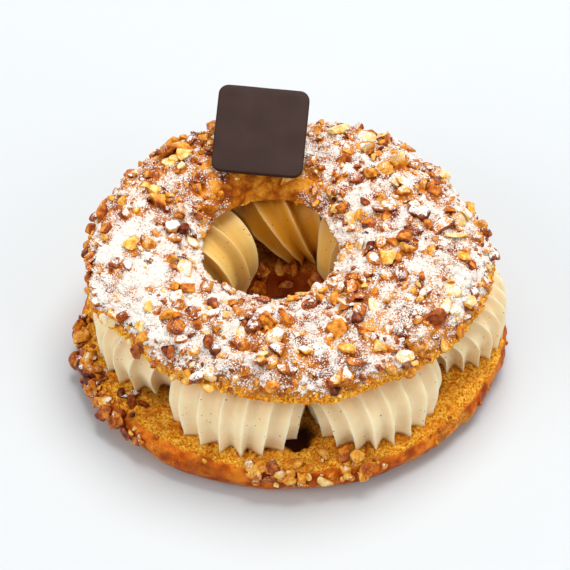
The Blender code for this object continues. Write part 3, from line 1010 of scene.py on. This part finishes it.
def almond_flake(pile, centre, normal, length, tone, random, dust):
    """A thin flake: a ragged oval with a slight curl."""
    points, faces = BALLS[3]
    wide = random.uniform(0.5, 0.75)
    ragged = 1.0 + 0.22 * noise(points * np.array((1.0, 1.0, 0.0)) + random.uniform(-50, 50, 3), 0.7, 411)
    flat = points * 0.5 * length * np.array((1.0, wide, 0.0)) * ragged[:, None]
    rim = np.hypot(points[:, 0], points[:, 1])
    flat[:, 2] = np.sign(points[:, 2]) * 0.30 * MM * np.sqrt(np.maximum(1.0 - rim**4, 0.0))
    flat[:, 2] += 0.10 * length * points[:, 0] ** 2 * random.uniform(-0.6, 1.0)
    placed = centre + flat @ frame_of(normal, 0.28, random) + normal * 0.45 * MM
    cover = dust * ease(points[:, 2] + 0.3) * (0.8 + 0.5 * noise(placed, 1.5 * MM, 419))
    browned = tone - 0.25 * ease((rim - 0.80) / 0.2) - 0.10 * noise(placed, 2.0 * MM, 421)
    pile.add(placed, faces, browned, cover)


def reaches_plaque(centre, height):
    """True where a piece this high would touch the plaque, which rises to the back from its front edge."""
    low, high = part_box("chocolate_plaque")
    beside = low.x - height < centre[0] < high.x + height and low.y - height < centre[1] < high.y + height
    underside = low.z + max(0.0, centre[1] - low.y) * math.tan(PLAQUE_SLOPE)
    return beside and centre[2] + height > underside


def lid_place(lid, places, length, random):
    """A free place on the lid where chunks gather: (centre, normal, dust)."""
    for _ in range(200):
        direction = random.uniform(0.0, 360.0)
        share = random.uniform(0.0, 1.0) ** 0.62
        centre, normal, dust = lid.spot(direction, share)
        drift = 0.55 + 0.9 * noise(centre, 8.0 * MM, 431) + drifts(direction, NUT_DRIFTS)
        drift = drift - 0.9 * near_direction(direction, BARE_DIRECTION, 28.0) * ease((0.28 - share) / 0.1)
        if random.uniform() > drift or reaches_plaque(centre, 0.75 * length):
            continue
        if places.free(centre, 0.30 * length):
            places.take(centre, 0.34 * length)
            return centre, normal, dust
    return None


def nut_tone(random):
    return float(np.clip(random.normal(0.50, 0.16), 0.06, 0.92))


def lid_toppings(lid, material):
    """Chunks and flakes on top, and bits along the lid's rim and round its hole."""
    random = np.random.default_rng(7)
    places = Places()
    for name, sizes in (("chopped_nuts", NUT_SIZES), ("nut_crumbs", BIT_SIZES)):
        pile = Pile()
        for typical in [length for length, count in sizes for _ in range(count)]:
            length = typical * random.uniform(0.88, 1.14)
            found = lid_place(lid, places, length, random)
            if found is None:
                continue
            centre, normal, dusted = found
            dust = random.choice((0.15, 0.45, 0.65, 0.95)) * (0.40 + 0.85 * dusted)
            sink = 0.32 if length > COARSE_LENGTH else 0.40
            chunk(pile, centre, normal, length, nut_tone(random), random, detail_of(length), dust, sink)
            if length > 1.6 * MM:
                lid.clear_and_shade_round(centre, 0.55 * length, random.uniform(0.0, 1.0))
        pile.build(name, material, "choux_crust_top")
    rim = Pile()
    for _ in range(RIM_BITS):
        centre, normal, dusted = lid.spot(random.uniform(0.0, 360.0), random.uniform(0.955, 1.0))
        length = (1.0 + 3.4 * random.uniform() ** 2.5) * MM
        if not reaches_plaque(centre, 0.75 * length):
            dust = random.choice((0.0, 0.5, 0.9)) * (0.3 + dusted)
            chunk(rim, centre, normal, length, nut_tone(random), random, detail_of(length), dust, 0.42)
    for _ in range(HOLE_BITS):
        centre, normal, dusted = lid.spot(random.uniform(130.0, 410.0) % 360.0, random.uniform(0.03, 0.16))
        length = (1.2 + 2.6 * random.uniform() ** 2) * MM
        chunk(rim, centre, normal, length, nut_tone(random), random, detail_of(length), dusted, 0.40)
    rim.build("nuts_on_lid_rim", material, "choux_crust_top")
    flakes = Pile()
    for _ in range(FLAKES):
        length = random.uniform(3.8, 6.2) * MM
        found = lid_place(lid, places, 0.5 * length, random)
        if found is not None:
            centre, normal, dusted = found
            tone = random.uniform(0.86, 1.0)
            almond_flake(flakes, centre, normal, length, tone, random, 0.4 + 0.5 * dusted)
    flakes.build("almond_flakes", material, "choux_crust_top")


def base_toppings(base, material):
    """Clusters on the rim of the lower crust, nuts stuck to the wall of its hole, and some scattered nuts."""
    random = np.random.default_rng(19)
    pile = Pile()
    for middle, spread, large, small, lighter in RIM_CLUSTERS:
        for number in range(large + small):
            direction = middle + spread * float(np.clip(random.normal(), -2.0, 2.0))
            centre, normal = base.spot(direction % 360.0, random.uniform(0.55, 1.0), base.rim)
            least, most, detail = (2.6, 4.8, 3) if number < large else (1.0, 2.2, 2)
            length = random.uniform(least, most) * MM
            dust = random.choice((0.0, 0.3, 0.8))
            chunk(pile, centre, normal, length, nut_tone(random) + lighter, random, detail, dust, 0.22)
    for _ in range(WALL_NUTS):
        centre, normal = base.spot(random.uniform(45.0, 125.0), random.uniform(0.35, 0.95), base.wall)
        length = random.uniform(3.2, 5.6) * MM
        chunk(pile, centre, normal, length, random.uniform(0.40, 0.60), random, 3, 0.0, 0.28)
    for _ in range(SCATTERED_NUTS):
        centre, normal = base.spot(random.uniform(0.0, 360.0), random.uniform(0.5, 1.0), base.rim)
        length = random.uniform(0.8, 1.8) * MM
        chunk(pile, centre, normal, length, nut_tone(random), random, 2, 0.1, 0.34)
    pile.build("nuts_on_base", material, "choux_crust")


def crumbs(lid, base, material):
    """Ragged bits of choux along the lid's lower edge and on the cut face of the base."""
    random = np.random.default_rng(29)
    lid_edge = (lid.crumb > 0.35) & (lid.normals[..., 2] > -0.4)
    cut_face = (base.crumb > 0.6) & (base.normals[..., 2] > 0.5) & (base.pit < 0.2)
    cut_face = cut_face & (base.reach(base.grid) > CRUMB_REACH)
    for name, slot, crust, found, count, most in (
        ("choux_crumbs", "choux_crust_top", lid, lid_edge, LID_CRUMBS, 1.7),
        ("cut_face_crumbs", "choux_crust", base, cut_face, CUT_FACE_CRUMBS, 1.3),
    ):
        pile = Pile()
        places = np.argwhere(found)
        for row, column in places[random.choice(len(places), count, replace=False)]:
            length = random.uniform(0.5, most) * MM
            centre, normal = crust.grid[row, column], crust.normals[row, column]
            chunk(pile, centre, normal, length, 0.5, random, 2, 0.0, 0.56)
        pile.build(name, material, slot, crumb=1.0, scorch=0.0)


def sugar_grains(lid, material):
    """Loose grains as small pyramids, most where the sugar lies thick."""
    random = np.random.default_rng(41)
    corners = np.array([(1, 1, 1), (1, -1, -1), (-1, 1, -1), (-1, -1, 1)], float) / math.sqrt(3.0)
    faces = np.array([(0, 1, 2), (0, 3, 1), (0, 2, 3), (1, 3, 2)])
    along = np.roll(lid.grid, -1, axis=0) - lid.grid
    across = np.roll(lid.grid, -1, axis=1) - lid.grid
    area = np.linalg.norm(np.cross(along, across), axis=-1)
    weight = (area * np.clip(lid.dust - 0.15, 0.0, 0.6)).ravel()
    chosen = random.choice(weight.size, SUGAR_GRAINS, p=weight / weight.sum())
    grid, along, across, normals = (
        values.reshape(-1, 3)[chosen] for values in (lid.grid, along, across, lid.normals)
    )
    spread = random.uniform(-0.5, 0.5, (2, SUGAR_GRAINS, 1))
    centre = grid + spread[0] * along + spread[1] * across
    centre = centre + normals * random.uniform(0.0, 0.16, (SUGAR_GRAINS, 1)) * MM
    size = random.uniform(0.13, 0.30, (SUGAR_GRAINS, 1, 1)) * MM
    turn, _ = np.linalg.qr(random.normal(size=(SUGAR_GRAINS, 3, 3)))
    turn = turn * np.sign(np.linalg.det(turn))[:, None, None]
    points = centre[:, None, :] + size * np.einsum("ij,njk->nik", corners, turn)
    faces = (faces[None] + 4 * np.arange(SUGAR_GRAINS)[:, None, None]).reshape(-1, 3)
    piece("sugar_grains", points, faces.tolist(), material, "choux_crust_top", crisp=20.0)


# ---------------------------------------------------------------- studio

# The camera looks a little beside the ring's middle.
CAMERA_AIM = Vector((-2.17, 0.09, 20.29)) * MM
CAMERA_DISTANCE = 700.0 * MM
CAMERA_ELEVATION = math.radians(45.0)
LENS = 171.98
SKY_COLOUR = (0.95, 0.985, 1.0, 1.0)
SKY_STRENGTH = 0.54
# Each light's name, place, power and colour.
LIGHTS = (
    ("key", (0.18, 0.42, 1.38), 20.5, (1.0, 0.99, 0.97)),
    ("front_left", (-0.97, -0.62, 0.72), 6.6, (1.0, 0.985, 0.96)),
    ("front_right", (0.97, -0.62, 0.72), 4.8, (1.0, 0.985, 0.96)),
)
LIGHT_WIDTH = 1.0
LIGHT_AIM = Vector((0.0, 0.0, 0.02))
FLOOR_FLAT = 1.5
FLOOR_CURVE = 1.2
FLOOR_SIDES = 96
FLOOR_BEND_STEPS = 24
FLOOR_COLOUR = (0.584, 0.606, 0.626)


def camera():
    data = bpy.data.cameras.new("camera")
    data.lens = LENS
    data.sensor_width = 36.0
    data.clip_start = 0.05
    data.clip_end = 10.0
    obj = added("camera", data)
    back = Vector((0.0, -math.cos(CAMERA_ELEVATION), math.sin(CAMERA_ELEVATION)))
    obj.location = CAMERA_AIM + back * CAMERA_DISTANCE
    obj.rotation_euler = back.to_track_quat("Z", "Y").to_euler()
    bpy.context.scene.camera = obj


def area_light(name, place, power, colour):
    data = bpy.data.lights.new(name, "AREA")
    data.shape = "DISK"
    data.size = LIGHT_WIDTH
    data.energy = power
    data.color = colour
    obj = added(name, data)
    obj.location = place
    obj.rotation_euler = (Vector(place) - LIGHT_AIM).to_track_quat("Z", "Y").to_euler()


def studio():
    scene = bpy.context.scene
    scene.view_settings.view_transform = "Standard"
    world = bpy.data.worlds.new("studio")
    world.use_nodes = True
    sky = world.node_tree.nodes["Background"]
    sky.inputs["Color"].default_value = SKY_COLOUR
    sky.inputs["Strength"].default_value = SKY_STRENGTH
    scene.world = world
    for light in LIGHTS:
        area_light(*light)


def floor():
    """A floor that runs flat and then curves up all round, so that no horizon shows."""
    rings = [(0.001, 0.0)]
    for step in range(FLOOR_BEND_STEPS + 1):
        bend = 0.5 * math.pi * step / FLOOR_BEND_STEPS
        rings.append((FLOOR_FLAT + FLOOR_CURVE * math.sin(bend), FLOOR_CURVE * (1.0 - math.cos(bend))))
    turns = [2.0 * math.pi * step / FLOOR_SIDES for step in range(FLOOR_SIDES)]
    points = [(*(radius * unit(turn)), rise) for radius, rise in rings for turn in turns]
    quads = ring_faces(len(rings), FLOOR_SIDES)[: (len(rings) - 1) * FLOOR_SIDES]
    faces = [range(FLOOR_SIDES), *quads]
    material = Skin("floor").finish(FLOOR_COLOUR, 0.9, 0.0)
    added("floor", smooth_mesh("floor", points, faces, material))


def main():
    lid_material = crust_skin("sugared_choux", *LID_COLOURS, True)
    base_material = crust_skin("baked_choux", *BASE_COLOURS, False)
    nut_material = nut_skin("caramel_nut")
    cream_material = cream_skin("praline_cream_skin")
    chocolate_material = chocolate_skin("dark_chocolate_skin")
    sugar_material = sugar_skin("powdered_sugar")
    lid = Lid()
    base = Base()
    base.build("lower_crust", base_material, "choux_crust", pit=base.pit)
    for index in range(len(SHELLS)):
        cream_shell(index, cream_material)
    chocolate_plaque(chocolate_material)
    lid_toppings(lid, nut_material)
    lid.build("lid_crust", lid_material, "choux_crust_top", dust=lid.dust)
    base_toppings(base, nut_material)
    crumbs(lid, base, base_material)
    sugar_grains(lid, sugar_material)
    camera()
    studio()
    floor()


main()
